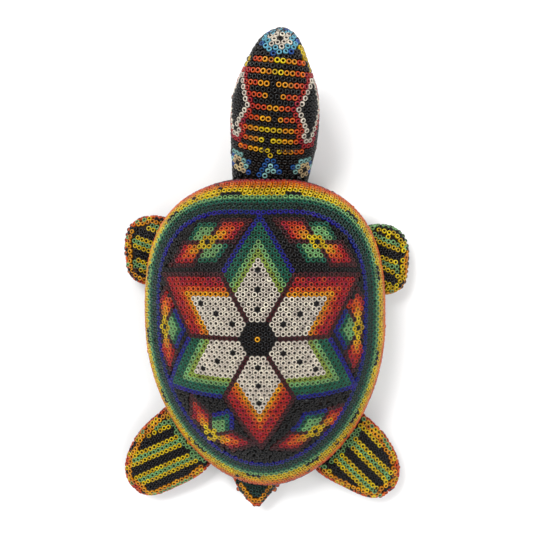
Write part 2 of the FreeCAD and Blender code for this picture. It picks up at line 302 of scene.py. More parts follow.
def star_colour(axis, i, j):
    """Colour of the bead i steps along one side of a petal and j along the other."""
    if i + j == 0:
        return "amber"
    if i + j <= 3:
        return "black"
    if i == 0 or j == 0:
        return "maroon"
    if i == j and i in (3, 5, 7):
        return "black"
    layer = PETAL_SIDE - 1 - max(i, j)
    if layer < 0:
        return "cobalt" if axis in COOL else "maroon"
    layers = COOL_LAYERS if axis in COOL else WARM_LAYERS
    return layers[layer] if layer < len(layers) else "white"


def lattice_key(place):
    """Whole numbers that name a place on the lattice of bead steps."""
    return round(place[0] * 2), round(place[1] * 2 / math.sqrt(3))


def lattice_edges(keys):
    """Pairs of neighbours among the cells of a lattice."""
    order = {key: index for index, key in enumerate(keys)}
    edges = []
    for key in keys:
        for step in ((2, 0), (1, 1), (-1, 1)):
            other = (key[0] + step[0], key[1] + step[1])
            if other in order:
                edges.append((order[key], order[other]))
    return np.array(edges)


def lay_star():
    cells = {}
    for axis in PETALS:
        for i in range(PETAL_SIDE + 1):
            for j in range(PETAL_SIDE + 1):
                place = i * compass(axis - 30) + j * compass(axis + 30)
                cells.setdefault(lattice_key(place), (place, star_colour(axis, i, j)))
    keys = list(cells)
    flat = np.array([cells[key][0] for key in keys]) * PITCH
    plan = walk_dome((0.0, 0.0), flat)
    plan = relax_on_dome(plan, lattice_edges(keys), STAR_ROUNDS, fixed=[keys.index((0, 0))])
    for key, point, normal in zip(keys, *on_dome(plan)):
        beads.add(point, normal, cells[key][1], "star")


lay_star()

# ---- ring, rim and sides: closed rows round the body ----

ROUND_STEPS = 360
CLIMBS = np.arange(78, -80, -2.0)  # angles over the horizon, from the crown downwards
UPPER_CLIMBS = 60  # so many of them meet the body above the belly
OUTSIDE = 200.0  # a distance beyond every part of the figure
ODD_SHARE = 0.14  # a cast this far off its row's median went astray
low, high = (np.array(corner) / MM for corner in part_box("edge_beads"))
EDGE_WIDTH, EDGE_FRONT, EDGE_REAR = high[0], high[1], -low[1]
AXIS_POINT = np.array([0.0, 0.0, 18.0])


def ray_at(climb, angle):
    """The direction at a climb over the horizon and a turn round the vertical."""
    return np.array([math.cos(climb) * math.cos(angle), math.cos(climb) * math.sin(angle),
                     math.sin(climb)])


def outline_radius(angle):
    """How far the widest line of the shell lies from its middle."""
    front = math.sin(angle) > 0
    length = EDGE_FRONT if front else EDGE_REAR
    power = SHELL_POWER_FRONT if front else SHELL_POWER_REAR
    return ((abs(math.cos(angle)) / EDGE_WIDTH) ** power
            + (abs(math.sin(angle)) / length) ** power) ** (-1 / power)


def body_profiles():
    """For each direction round the body, skin points from the crown down to the belly."""
    angles = np.arange(ROUND_STEPS) * 2 * math.pi / ROUND_STEPS
    climbs = np.radians(CLIMBS)
    outline = np.array([outline_radius(angle) for angle in angles])
    share = np.full((ROUND_STEPS, len(climbs)), np.nan)
    for i, angle in enumerate(angles):
        for j, climb in enumerate(climbs):
            ray = ray_at(climb, angle)
            found = body_skin.cast(AXIS_POINT + ray * OUTSIDE, -ray)
            if found:
                share[i, j] = np.linalg.norm(found[0] - AXIS_POINT) / outline[i]
    # Where a limb leaves the body a cast goes astray: the row's median bridges it.
    typical = np.nanmedian(share, axis=0)
    broken = ~(np.abs(share / typical - 1) < ODD_SHARE)
    share[broken] = np.broadcast_to(typical, share.shape)[broken]
    radius = share * outline[:, None]
    flat = radius * np.cos(climbs)[None, :]
    x, y = flat * np.cos(angles)[:, None], flat * np.sin(angles)[:, None]
    z = AXIS_POINT[2] + radius * np.sin(climbs)[None, :]
    return np.stack([x, y, z], axis=-1)


PROFILES = body_profiles()


def ring_height(angle):
    """The ring climbs at the head and the tail and dips at the front corners."""
    rise = 1.9 * abs(math.sin(angle)) ** 6
    if math.sin(angle) > 0:
        return RING_HEIGHT + rise - 1.5 * math.sin(2 * angle) ** 2
    return RING_HEIGHT + rise + 0.5 * math.sin(2 * angle) ** 2


def arc_of(line):
    """Distance along a line of points at each of them."""
    return np.concatenate([[0], np.cumsum(np.linalg.norm(np.diff(line, axis=0), axis=1))])


def at_arc(line, arc, s):
    return np.array([np.interp(s, arc, line[:, k]) for k in range(3)])


def row_round_body(distance):
    """A closed line on the body at a distance down the skin from the blue ring."""
    line = []
    for step, profile in enumerate(PROFILES):
        level = profile[:, 2] - SHELL_TILT * profile[:, 1]
        arc = arc_of(profile)
        height = ring_height(step * 2 * math.pi / ROUND_STEPS)
        ring = np.interp(-height, -level[:UPPER_CLIMBS], arc[:UPPER_CLIMBS])
        line.append(at_arc(profile, arc, ring + distance))
    return np.array(line)


def space_out(line, phase, closed=True):
    """Places for beads at even steps along a line of points."""
    if closed:
        line = np.vstack([line, line[:1]])
    arc = arc_of(line)
    count = max(1, round(arc[-1] / PITCH))
    stations = (np.arange(count) + phase) * arc[-1] / count
    return at_arc(line, arc, stations).T


def yellow_dashes(index):
    return "black" if index % 12 in (9, 10, 11) else "yellow"


RIM_COLOURS = ["cobalt", "dark_green", "dark_green", "teal", "light_green", yellow_dashes,
               "yellow", "amber", "tangerine", "orange", "red", "maroon", "black", "dark_green",
               "teal", "light_green", "yellow", "amber", "orange", "red"]
BORDER_ROWS = 10  # rows from the ring to the edge of the shell
OFF_SKIN = 1.35  # a snap longer than this has left the row's place
SAME_SKIN = 0.05  # two skins closer than this are the same one
SIDE_FLOOR = 0.6  # the rows of the sides stop this far above the floor


def lay_rows_round_body():
    for number, colour in enumerate(RIM_COLOURS):
        group = "border" if number < BORDER_ROWS else "side"
        phase = 0.5 * (number % 2)
        line = row_round_body(number * ROW)
        for index, point in enumerate(space_out(line, phase)):
            outward = unit(point - AXIS_POINT)
            near = body_skin.snap(point, outward)
            if near[2] > OFF_SKIN or whole_skin.snap(point, outward)[2] < near[2] - SAME_SKIN:
                continue
            if near[1] @ outward < 0.3 or near[0][2] < SIDE_FLOOR:
                continue
            name = colour(index) if callable(colour) else colour
            beads.add(near[0], near[1], name, group)


lay_rows_round_body()

# ---- flowers between the petals ----

# Each flower: its middle in plan, the directions of its warm and of its cool petals, a blue
# outline or not, how far its petals lean in over the shell, and how it is turned.
FLOWERS = {
    "front_left": ((-20.0, 36.0), (30, 210), (120, 300), False, 0.0, 0),
    "front_right": ((22.3, 36.0), (150, 330), (60, 240), False, 0.0, 0),
    "left": ((-39.2, 2.0), (90, 270), (0,), True, 0.22, 0),
    "right": ((39.2, 2.0), (90, 270), (180,), True, 0.22, 0),
    "rear_left": ((-20.7, -42.0), (0, 120), (60,), True, 0.0, -8),
    "rear_right": ((22.2, -40.0), (30, 210), (120,), True, 0.2, 0),
}
FLOWER_WARM = ("yellow", "amber", "orange", "red")


def flower_cells(warm, cool, outlined):
    """Lattice steps and colours of one flower with petals that point along the given degrees."""
    cells = {(0.0, 0.0): "black"}
    for k in range(6):
        cells[tuple(compass(60 * k))] = "yellow"
    for turn in warm:
        a, b = compass(turn - 30), compass(turn + 30)
        for i in range(6):
            for j in range(6):
                size = max(i, j)
                if size < 1:
                    continue
                place = tuple(i * a + j * b)
                if i == 0 or j == 0:
                    if size >= 2:
                        cells.setdefault(place, "maroon")
                else:
                    cells[place] = FLOWER_WARM[size - 1] if size <= 4 else "maroon"
    for turn in cool:
        # Close between warm petals a cool petal is narrow; otherwise it opens wide.
        narrow = (turn - warm[0]) % 180 != 90
        tip = compass(turn - 30) + compass(turn + 30) if narrow else compass(turn)
        opening = 30 if narrow else 60
        a, b = compass(turn - opening), compass(turn + opening)
        for i in range(5):
            for j in range(5):
                size = max(i, j)
                place = tuple(tip + i * a + j * b)
                colour = "yellow" if size == 0 else "teal" if size == 3 else "light_green"
                if size == 4:
                    colour = "cobalt" if outlined else "black"
                cells.setdefault(place, colour)
    return cells


def lay_flowers():
    for centre, warm, cool, outlined, lean, turned in FLOWERS.values():
        tree = beads.tree()
        cells = flower_cells(warm, cool, outlined)
        merged = {}
        for place, colour in cells.items():
            merged.setdefault(lattice_key(place), (place, colour))
        flat = np.array([place for place, _ in merged.values()]) * PITCH
        flat = flat @ np.array([compass(turned), compass(turned + 90)])
        plan = walk_dome(centre, flat)
        along = (plan - centre) @ compass(warm[0])
        inward = compass(warm[0] + 90)
        inward = -math.copysign(1.0, inward @ centre) * inward
        plan += inward * (lean * np.abs(along))[:, None]
        plan = relax_on_dome(plan, lattice_edges(list(merged)), FLOWER_ROUNDS)
        for point, normal, (_, colour) in zip(*on_dome(plan), merged.values()):
            x, y, height = point
            inside = height - SHELL_TILT * y > ring_height(math.atan2(y, x)) + 0.4
            if inside and clear_of(tree, point, 0.80 * PITCH):
                beads.add(point, normal, colour, "flower")


FIRST_FLOWER_BEAD = len(beads.points)
lay_flowers()

# ---- filling between the rows ----

NEIGHBOUR_REACH = 2.2 * PITCH  # a new bead changes the gaps this far around it
SETTLED_GAP = 0.99 * PITCH  # settled beads shove no closer ones away
SHOVE = 0.45  # share of an overlap that one round of settling takes away
SETTLE_ROUNDS = 16
FILL_GAPS = (0.92, 0.86, 0.80, 0.76)  # least gaps of the goes at filling, in bead steps
GROUND_SCATTER = 9.0  # places tried for a bead in a square millimetre
GAP_SCATTER = 8.0


def advance(points, normals, gap, colour_of, group):
    """Fills a field from its borders inwards, each new bead against earlier ones."""
    tree = beads.tree()
    nearest = np.array([tree.find(Vector(p))[2] for p in points])
    crowd = tree_of(points)
    heap = [(distance, index) for index, distance in enumerate(nearest) if distance >= gap]
    heapq.heapify(heap)
    while heap:
        distance, index = heapq.heappop(heap)
        if distance > nearest[index] + 1e-9 or nearest[index] < gap:
            continue
        beads.add(points[index], normals[index], colour_of(points[index], normals[index]), group)
        nearest[index] = 0.0
        for _, other, gap_to in crowd.find_range(Vector(points[index]), NEIGHBOUR_REACH):
            if gap_to < nearest[other]:
                nearest[other] = gap_to
                if gap_to >= gap:
                    heapq.heappush(heap, (gap_to, other))


def settle(first, skin):
    """Beads from number first on shove one another apart until their gaps are even."""
    for _ in range(SETTLE_ROUNDS):
        tree = beads.tree()
        moved = []
        for index in range(first, len(beads.points)):
            here = Vector(beads.points[index])
            push = Vector((0, 0, 0))
            for other, number, distance in tree.find_range(here, SETTLED_GAP):
                if number != index and distance > 0.01:
                    push += (here - other) * ((SETTLED_GAP - distance) / distance * SHOVE)
            moved.append(here + push)
        for index, place in enumerate(moved, start=first):
            hit = skin.snap(place, beads.normals[index], 0.4)
            if hit[1] @ beads.normals[index] > 0.6:
                beads.points[index], beads.normals[index] = hit[0], hit[1]


def fill(points, normals, skin, colour_of, group, first=None):
    """Goes at filling a field; after each the beads from number first on settle."""
    for gap in FILL_GAPS:
        loose = len(beads.points) if first is None else first
        advance(points, normals, gap * PITCH, colour_of, group)
        settle(loose, skin)


def outward_of(points):
    outward = points - AXIS_POINT
    return outward / np.linalg.norm(outward, axis=1)[:, None]


def black(point, normal):
    return "black"


def fill_ground():
    points, normals = body_skin.scatter(GROUND_SCATTER)
    level = points[:, 2] - SHELL_TILT * points[:, 1]
    facing = (normals * outward_of(points)).sum(axis=1) > 0.4
    # The inner face of the bead layer lies one layer deeper than the skin.
    depth = np.abs(dome_height(points[:, 0], points[:, 1]) - points[:, 2]) < 0.4
    angles = np.arctan2(points[:, 1], points[:, 0])
    inside = level > np.array([ring_height(angle) for angle in angles])
    keep = facing & depth & inside
    fill(points[keep], normals[keep], body_skin, black, "ground", FIRST_FLOWER_BEAD)


fill_ground()

# ---- head: rows from the snout back, columns from the middle of its top ----

HEAD_ROW_ZERO = 103.6  # where the first stripe crosses the middle of the head
NOSE = np.array([8.35, 112.6, 39.4])
NOSE_TURN = 16
NOSE_SPREAD = 1.05  # the flower on the snout lies looser than the rows
NECK_FLOWER = (20.3, 6.2)  # row, and columns to each side
EYE_ROW = 8.3
# The middle of the head's pattern: along the figure, and across it.
PATTERN_MIDDLE = ((61, 70, 79, 86.7, 95, 103.5, 113, 117.5),
                  (3.2, 3.6, 4.2, 5.5, 6.9, 8.5, 8.4, 8.8))
HEAD_HEADING = np.array([0.11, 1.0, 0.0])
HEAD_ROWS = 23  # rows from the first stripe back to the shell
SNOUT_ROWS = 5  # rows in front of the first stripe
HEAD_TURNS = 240  # casts round the head for one row
HEAD_REACH = 24.0  # the head's skin is nearer its middle than this


def ridge(sign):
    """Points along the middle of the head's top (sign 1) or throat (sign -1), snout to neck."""
    points = []
    for y in np.arange(117.0, 56.0, -0.2):
        x = np.interp(y, *PATTERN_MIDDLE)
        found = head_skin.cast((x, y, 90.0 * sign), (0, 0, -sign))
        if found is not None:
            points.append(found[0])
    return np.array(points)


def row_arcs(first, count):
    """Distances along the ridge of the rows; the rows of the neck lie a little wider."""
    arcs, s = [], first
    for row in range(count):
        arcs.append(s)
        s += HEAD_ROW + 0.1 * min(1.0, max(0.0, (row - 8) / 5))
    return arcs


# Black beads in the middle of the stripes of the head, each as row and column.
STRIPE_GAPS = {(4, -0.5), (6, -0.5), (6, 0.5), (10, 0.5), (14, -0.5), (16, 0.5)}


def head_stripe(row, column, half):
    """A stripe from its ends inwards: two orange, two amber, then yellow."""
    if (row, column) in STRIPE_GAPS:
        return "black"
    inward = half - abs(column)
    if inward < 2:
        return "orange"
    return "amber" if inward < 4 or 3 < row < 11 else "yellow"


def neck_colour(row, column):
    wide = abs(column)
    side_row, side_column = row - NECK_FLOWER[0], wide - NECK_FLOWER[1]
    reach = math.hypot(side_row * 0.95, side_column)
    if reach < 0.6:
        return "black"
    if reach < 1.5:
        return "cream"
    if reach < 2.6:
        return "blue" if (round(row) + round(wide)) % 2 else "pale_blue"
    if row == 18 and wide < 1:
        return "blue"
    if row in (19, 20, 21) and wide < 4:
        edge = (row - 19) * 0.5
        if abs(wide - edge) < 0.6:
            return "pale_blue"
        if abs(wide - edge - 1) < 0.5:
            return "blue"
    return "black"


def head_colour(row, column):
    wide = abs(column)
    if row > 16:
        if row == 17 and wide < 0.6:
            return "yellow"
        if wide < 11:
            return neck_colour(row, column)
        return "red" if wide < 12 else "orange" if wide < 13 else "black"
    slant = abs(row - EYE_ROW)
    inner = min(4.5 + 0.42 * slant, 6.5 if row < EYE_ROW else 7.5)
    outer = 10.2 - 0.5 * slant
    inside = min(wide - inner, outer - wide)
    if row < 1.5:
        half = 5.0
    else:
        half = 6.0 if row > 10 else min(inner - 1.5, 6.2)
        if inside > 0.5:
            return "black"
        if inside > -0.5 and 2.5 < row < 14.5:
            return "white"
        if inside > -1.5 and row < 15.5:
            return "red"
    if wide < half:
        return head_stripe(row, column, half) if row % 2 == 0 else "black"
    if wide < outer and row >= 14:
        return "red" if wide < half + 1 else "black"
    if row < 6 and 6.0 + 0.35 * row <= wide < 7.2 + 0.35 * row:
        return "yellow"
    if 12.2 < wide < 13.4:
        return "orange"
    if 13.4 <= wide < 14.5:
        return "amber"
    return "black"


def lay_nose():
    """A flower of beads on the snout: black, six white, white and sky, then sky and blue."""
    centre, normal, _ = head_skin.snap(NOSE, (0.05, 0.5, 0.85), 2.0)
    side = unit(np.cross([0, 0, 1.0], -normal))
    up = np.cross(normal, side)
    a, b = compass(NOSE_TURN), compass(NOSE_TURN + 60)
    for i in range(-3, 4):
        for j in range(-3, 4):
            ring = max(abs(i), abs(j), abs(i + j))
            if ring > 3:
                continue
            flat = (i * a + j * b) * HEAD_PITCH * NOSE_SPREAD
            corner = i == 0 or j == 0 or i + j == 0
            colour = ("black", "white", "sky" if corner else "white",
                      "blue" if corner else "sky")[ring]
            place = centre + side * flat[0] + up * flat[1]
            hit = head_skin.cast(place + normal * 8, -normal)
            if hit is not None and clear_of(beads.tree(), hit[0], 1.7):
                beads.add(hit[0], hit[1], colour, "head")


def nose_side(row, column):
    """Rows in front of the first stripe: a yellow patch on the right, black elsewhere."""
    if row > -4 and 4.6 + row * 0.2 < column < 6.6 + row * 0.2:
        return "yellow"
    return "black"


def loop_round_head(middle, up, side):
    """Skin points once round the head, starting at its top."""
    loop = []
    for turn in range(HEAD_TURNS):
        angle = math.radians(turn * 360 / HEAD_TURNS)
        ray = up * math.cos(angle) + side * math.sin(angle)
        hit = head_skin.cast(middle + ray * 60, -ray)
        if hit is not None and np.linalg.norm(hit[0] - middle) < HEAD_REACH:
            loop.append(hit[0])
    return loop


def lay_head():
    lay_nose()
    nose_tree = beads.tree()
    top, bottom = ridge(1), ridge(-1)
    top_arc, bottom_arc = arc_of(top), arc_of(bottom)
    start = np.interp(-HEAD_ROW_ZERO, -top[:, 1], top_arc)
    arcs = [start - back * HEAD_ROW for back in range(SNOUT_ROWS, 0, -1)]
    for row, s in enumerate(arcs + row_arcs(start, HEAD_ROWS), start=-SNOUT_ROWS):
        a = at_arc(top, top_arc, s)
        b = at_arc(bottom, bottom_arc, s * bottom_arc[-1] / top_arc[-1])
        middle = (a + b) / 2
        up = unit(a - b)
        side = unit(np.cross(HEAD_HEADING, up))
        loop = loop_round_head(middle, up, side)
        if len(loop) < HEAD_TURNS / 3:
            continue
        closed = np.array(loop + loop[:1])
        arc = arc_of(closed)
        count = max(6, round(arc[-1] / HEAD_PITCH))
        tree = beads.tree()
        for k in range(count):
            column = k + 0.5 * (row % 2 == 0)
            column = column - count if column > count / 2 else column
            point = at_arc(closed, arc, (column * arc[-1] / count) % arc[-1])
            hit = whole_skin.snap(point, unit(point - middle), 0.6)
            if hit[2] > 1.0 or hit[1] @ (point - middle) < 0:
                continue
            if row < 0 and not clear_of(nose_tree, hit[0], 1.95):
                continue
            if clear_of(tree, hit[0], 1.85):
                colour = head_colour(row, column) if row >= 0 else nose_side(row, column)
                beads.add(hit[0], hit[1], colour, "head")


lay_head()

# ---- flippers and tail ----


LIMB_TURNS = 180  # directions cast round a limb
LIMB_CLIMBS = np.arange(84, -85, -3.0)
LIMB_SPAN = 34.0  # no limb is wider than this
STRIPE_REACH = 26  # rows and columns tried to each side of a flipper's middle


def profiles_round(skin, centre):
    """For each direction round a limb, skin points from its top to its underside."""
    rows = []
    for turn in range(LIMB_TURNS):
        profile = []
        for climb in np.radians(LIMB_CLIMBS):
            ray = ray_at(climb, turn * 2 * math.pi / LIMB_TURNS)
            hit = skin.cast(centre + ray * 80.0, -ray)
            profile.append(hit[0] if hit is not None else (np.nan,) * 3)
        rows.append(np.array(profile))
    return rows


def lay_rows_round_limb(skin, centre, colours, group):
    """Rows that follow the limb's outline; row 0 runs on its side, higher rows on its top."""
    profiles = profiles_round(skin, centre)
    for number, colour in colours.items():
        line = []
        for profile in profiles:
            good = ~np.isnan(profile[:, 0])
            if good.sum() < 30:
                line.append(None)
                continue
            points = profile[good]
            widest = np.argmax(np.linalg.norm(points[:, :2] - centre[:2], axis=1))
            arc = arc_of(points)
            s = arc[widest] - (number + 0.5) * ROW
            line.append(at_arc(points, arc, s) if 0 < s < arc[-1] else None)
        tree = beads.tree()
        start = next((k for k, p in enumerate(line) if p is None), 0)
        for missing, run in itertools.groupby(line[start:] + line[:start], lambda p: p is None):
            run = list(run)
            if missing or len(run) < 4:
                continue
            for point in space_out(np.array(run), 0.5 * (number % 2), closed=False):
                outward = unit(point - centre)
                hit = whole_skin.snap(point, outward, 0.8)
                own = skin.snap(point, outward, 0.8)
                if own[2] > hit[2] + SAME_SKIN or hit[2] > 1.2:
                    continue
                if hit[0][2] > 0.4 and clear_of(tree, hit[0], 0.84 * PITCH):
                    name = colour(hit[0]) if callable(colour) else colour
                    beads.add(hit[0], hit[1], name, group)


def beside_shell(plan):
    """How far a point in plan lies outside the widest line of the shell."""
    return math.hypot(plan[0], plan[1]) - outline_radius(math.atan2(plan[1], plan[0]))


def lay_stripes(skin, anchor, angle, colour_of, group):
    """Straight rows over the top of a limb, colour by row number."""
    along, across = compass(angle), compass(angle - 90)
    tree = beads.tree()
    for row in range(-STRIPE_REACH, STRIPE_REACH + 1):
        for k in range(-STRIPE_REACH, STRIPE_REACH + 1):
            plan = np.asarray(anchor) + across * row * ROW + along * (k + 0.5 * (row % 2)) * PITCH
            down = (*plan, 60.0), (0, 0, -1)
            hit, own = whole_skin.cast(*down), skin.cast(*down)
            if hit is None or own is None or abs(hit[0][2] - own[0][2]) > 0.2:
                continue
            if hit[1][2] > 0.6 and clear_of(tree, hit[0], 0.80 * PITCH):
                edge = group.startswith("hind") and beside_shell(plan) < 2.4
                beads.add(hit[0], hit[1], "light_green" if edge else colour_of(row), group)


def stripes(*order, first=-math.inf):
    """Colour by row number: the order again and again, black before the first row."""
    return lambda row: order[row % len(order)] if row >= first else "black"


HIND_STRIPES = stripes("black", "black", "yellow", "light_green", "yellow")
LIMBS = {
    "front_left_flipper": dict(
        centre=(-47, 31, 8), anchor=(-52, 36), angle=-17,
        stripes=stripes("yellow", "light_green", "yellow", "black", "black", first=-5)),
    "front_right_flipper": dict(
        centre=(47, 27, 8), anchor=(52, 33), angle=-23,
        stripes=stripes("yellow", "black", "black", "yellow", "light_green")),
    "hind_left_flipper": dict(
        centre=(-45, -60, 7.5), anchor=(-45, -60), angle=205, stripes=HIND_STRIPES),
    "hind_right_flipper": dict(
        centre=(41, -59, 7.5), anchor=(41, -59), angle=-46, stripes=HIND_STRIPES),
}
FLIPPER_ROWS = {0: "orange", 1: "orange", 2: "amber", -1: "red", -2: "maroon", -3: "black"}


def green_edge(point):
    return "light_green" if point[1] > 32 else "amber"


GREEN_EDGED_ROWS = {0: green_edge, 1: green_edge, 2: "yellow", -1: "teal", -2: "dark_green",
                    -3: "black"}


def fill_limb(skin, group, colour_of, first=None):
    points, normals = skin.scatter(GAP_SCATTER)
    # The inner face of the bead layer looks across the limb at itself, the outer at nothing.
    free = [whole_skin.tree.ray_cast(Vector(p + n * 0.05), Vector(n), LIMB_SPAN)[0] is None
            for p, n in zip(points, normals)]
    fill(points[free], normals[free], skin, colour_of, group, first)


def stripe_filler(rule):
    """Colours for the gaps of a flipper: its stripes run on above, black below."""
    across = compass(rule["angle"] - 90)

    def colour_of(point, normal):
        if normal[2] < 0.2:
            return "black"
        return rule["stripes"](round((point[:2] - rule["anchor"]) @ across / ROW))
    return colour_of


for limb, rule in LIMBS.items():
    limb_skin = Skin(LIMB_NODES[limb])
    limb_centre = np.array(rule["centre"], float)
    limb_rows = GREEN_EDGED_ROWS if limb == "front_right_flipper" else FLIPPER_ROWS
    lay_rows_round_limb(limb_skin, limb_centre, limb_rows, limb)
    first_stripe_bead = len(beads.points)
    lay_stripes(limb_skin, rule["anchor"], rule["angle"], rule["stripes"], limb)
    fill_limb(limb_skin, limb, stripe_filler(rule), first_stripe_bead)

TAIL_ROWS = {0: "orange", 1: "orange", 2: "amber", 3: "dark_green", -1: "red", -2: "maroon",
             -3: "black"}
lay_rows_round_limb(tail_skin, np.array([-3.8, -66.0, 8.0]), TAIL_ROWS, "tail")
fill_limb(tail_skin, "tail", lambda p, n: "dark_green" if n[2] > 0.2 else "black")
fill_limb(head_skin, "head", black)

# ---- belly: straight rows in hexagonal bands ----

# Bands of two rows from the middle outwards, each followed by two black rows.
BELLY_PAIRS = (("amber", "yellow"), ("teal", "teal"), ("red", "orange"), ("cobalt", "blue"),
               ("light_green", "teal"), ("maroon", "red"), ("yellow", "amber"),
               ("teal", "dark_green"))
BELLY_BANDS = [colour for pair in BELLY_PAIRS for colour in (*pair, "black", "black")]
BELLY_MIDDLE = -4.0
BELLY_ROWS, BELLY_COLUMNS = 40, 34  # tried to each side of the middle


def lay_belly():
    tree = beads.tree()
    for row in range(-BELLY_ROWS, BELLY_ROWS + 1):
        for k in range(-BELLY_COLUMNS, BELLY_COLUMNS + 1):
            x = (k + 0.5 * (row % 2)) * PITCH
            y = BELLY_MIDDLE + row * ROW
            hit = body_skin.cast((x, y, -40.0), (0, 0, 1))
            if hit is None or hit[1][2] > -0.9 or hit[0][2] > 0.6:
                continue
            if not clear_of(tree, hit[0], 0.9 * PITCH):
                continue
            i = abs(row)
            ring = max(i, round(abs(k + 0.5 * (row % 2)) + i / 2))
            beads.add(hit[0], hit[1], BELLY_BANDS[min(ring, len(BELLY_BANDS) - 1)], "belly")


lay_belly()


def fill_body_gaps():
    points, normals = body_skin.scatter(GAP_SCATTER)
    outward = outward_of(points)
    keep = (normals * outward).sum(axis=1) > 0.3
    for index in np.nonzero(keep)[0]:
        p, o = points[index], outward[index]
        hit = body_skin.tree.ray_cast(Vector(p + o * 0.4), Vector(o), 4.0)
        near = whole_skin.tree.find_nearest(Vector(p + o * 0.3))
        keep[index] = hit[0] is None and near[3] > 0.15
    fill(points[keep], normals[keep], body_skin, black, "side")


fill_body_gaps()

# ---- bead meshes ----

SEGMENTS = 12
PROFILE_STEPS = 7
ASKEW_SHARE = 0.02  # share of the beads that sit visibly askew
BELLY_SINK = 0.35
RING_MIDDLE = (BEAD_RADIUS + HOLE_RADIUS) / 2


def bead_template():
    """One closed pressed ring of glass about z, its outside round and its hole narrow."""
    half_wall = (BEAD_RADIUS - HOLE_RADIUS) / 2
    vertices, faces = [], []
    for s in range(SEGMENTS):
        turn = 2 * math.pi * s / SEGMENTS
        for p in range(PROFILE_STEPS):
            a = 2 * math.pi * (p + 0.5) / PROFILE_STEPS
            ca, sa = math.cos(a), math.sin(a)
            r = RING_MIDDLE + half_wall * math.copysign(abs(ca) ** 0.8, ca)
            z = BEAD_HEIGHT / 2 * math.copysign(abs(sa) ** 0.8, sa)
            vertices.append((r * math.cos(turn), r * math.sin(turn), z))
    for s in range(SEGMENTS):
        for p in range(PROFILE_STEPS):
            q, t = (p + 1) % PROFILE_STEPS, (s + 1) % SEGMENTS
            faces.append((s * PROFILE_STEPS + p, t * PROFILE_STEPS + p,
                          t * PROFILE_STEPS + q, s * PROFILE_STEPS + q))
    return np.array(vertices), np.array(faces)


TEMPLATE, TEMPLATE_FACES = bead_template()


def frame_of(normal):
    """Two directions across a normal."""
    seed = np.array([1.0, 0.0, 0.0]) if abs(normal[0]) < 0.8 else np.array([0.0, 1.0, 0.0])
    a = unit(np.cross(normal, seed))
    return a, np.cross(normal, a)


def new_object(name, data):
    obj = bpy.data.objects.new(name, data)
    bpy.context.scene.collection.objects.link(obj)
    return obj


def bead_piece(name, indices, colour):
    count = len(indices)
    verts = np.empty((count, len(TEMPLATE), 3))
    tint = np.empty((count, len(TEMPLATE)), np.float32)
    # The wall of the hole counts as sunk too, so the material darkens it: partly wax and dust,
    # partly painted shade inside the hole.
    sunk = TEMPLATE[:, 2] / BEAD_HEIGHT + 0.5 - 0.5 * (np.hypot(*TEMPLATE.T[:2]) < RING_MIDDLE)
    rise = np.tile(sunk.astype(np.float32), (count, 1))
    for k, index in enumerate(indices):
        normal = unit(beads.normals[index])
        a, b = frame_of(normal)
        lean = rng.normal(0, 0.05, 2)
        if rng.random() < ASKEW_SHARE:
            lean = rng.normal(0, 0.3, 2)
        axis = unit(normal + a * lean[0] + b * lean[1])
        a, b = frame_of(axis)
        wide = 1 + rng.normal(0, 0.022)
        tall = 1 + rng.normal(0, 0.05)
        if beads.groups[index] == "head":
            wide *= 1.05
        # The beads of the belly are pressed flush, so that the figure rests flat.
        sink = BELLY_SINK if beads.groups[index] == "belly" else BEAD_SINK
        centre = beads.points[index] - normal * (BEAD_HEIGHT / 2 + sink)
        centre = centre + (a * rng.normal(0, 0.035) + b * rng.normal(0, 0.035))
        local = TEMPLATE * np.array([wide, wide, min(tall, 1.06)])
        verts[k] = centre + local[:, :1] * a + local[:, 1:2] * b + local[:, 2:] * axis
        tint[k] = rng.normal(0, 1)
    faces = TEMPLATE_FACES[None, :, :] + (np.arange(count) * len(TEMPLATE))[:, None, None]
    mesh = bpy.data.meshes.new(name)
    mesh.from_pydata((verts.reshape(-1, 3) * MM).tolist(), [], faces.reshape(-1, 4).tolist(),
                     shade_flat=False)
    for label, values in (("tint", tint), ("rise", rise)):
        attribute = mesh.attributes.new(label, "FLOAT", "POINT")
        attribute.data.foreach_set("value", values.reshape(-1))
    mesh.materials.append(MATERIALS[colour])
    obj = new_object(name, mesh)
    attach(obj, "root")
    return obj


# ---- materials ----


def nodes_of(name):
    material = bpy.data.materials.new(name)
    material.use_nodes = True
    tree = material.node_tree
    return material, tree, tree.nodes["Principled BSDF"]


def set_inputs(tree, node, **inputs):
    """Gives each input, named with _ for spaces, a value or a link."""
    for label, value in inputs.items():
        socket = node.inputs[label.replace("_", " ")]
        if isinstance(value, bpy.types.NodeSocket):
            tree.links.new(value, socket)
        else:
            socket.default_value = value
    return node


def add_node(tree, kind, **inputs):
    return set_inputs(tree, tree.nodes.new("ShaderNode" + kind), **inputs)


def attribute_of(tree, label):
    node = add_node(tree, "Attribute")
    node.attribute_name = label
    return node.outputs["Fac"]


def scaled(tree, value, factor, offset):
    node = add_node(tree, "Math")
    node.operation = "MULTIPLY_ADD"
    tree.links.new(value, node.inputs[0])
    node.inputs[1].default_value = factor
    node.inputs[2].default_value = offset
    return node.outputs[0]


def roughen(tree, shader, noise, low, high, strength, distance):
    """Noise drives the roughness between two bounds, and a fine bump."""
    spread = add_node(tree, "MapRange", Value=noise, To_Min=low, To_Max=high)
    bump = add_node(tree, "Bump", Height=noise, Strength=strength, Distance=distance)
    set_inputs(tree, shader, Roughness=spread.outputs["Result"], Normal=bump.outputs["Normal"])


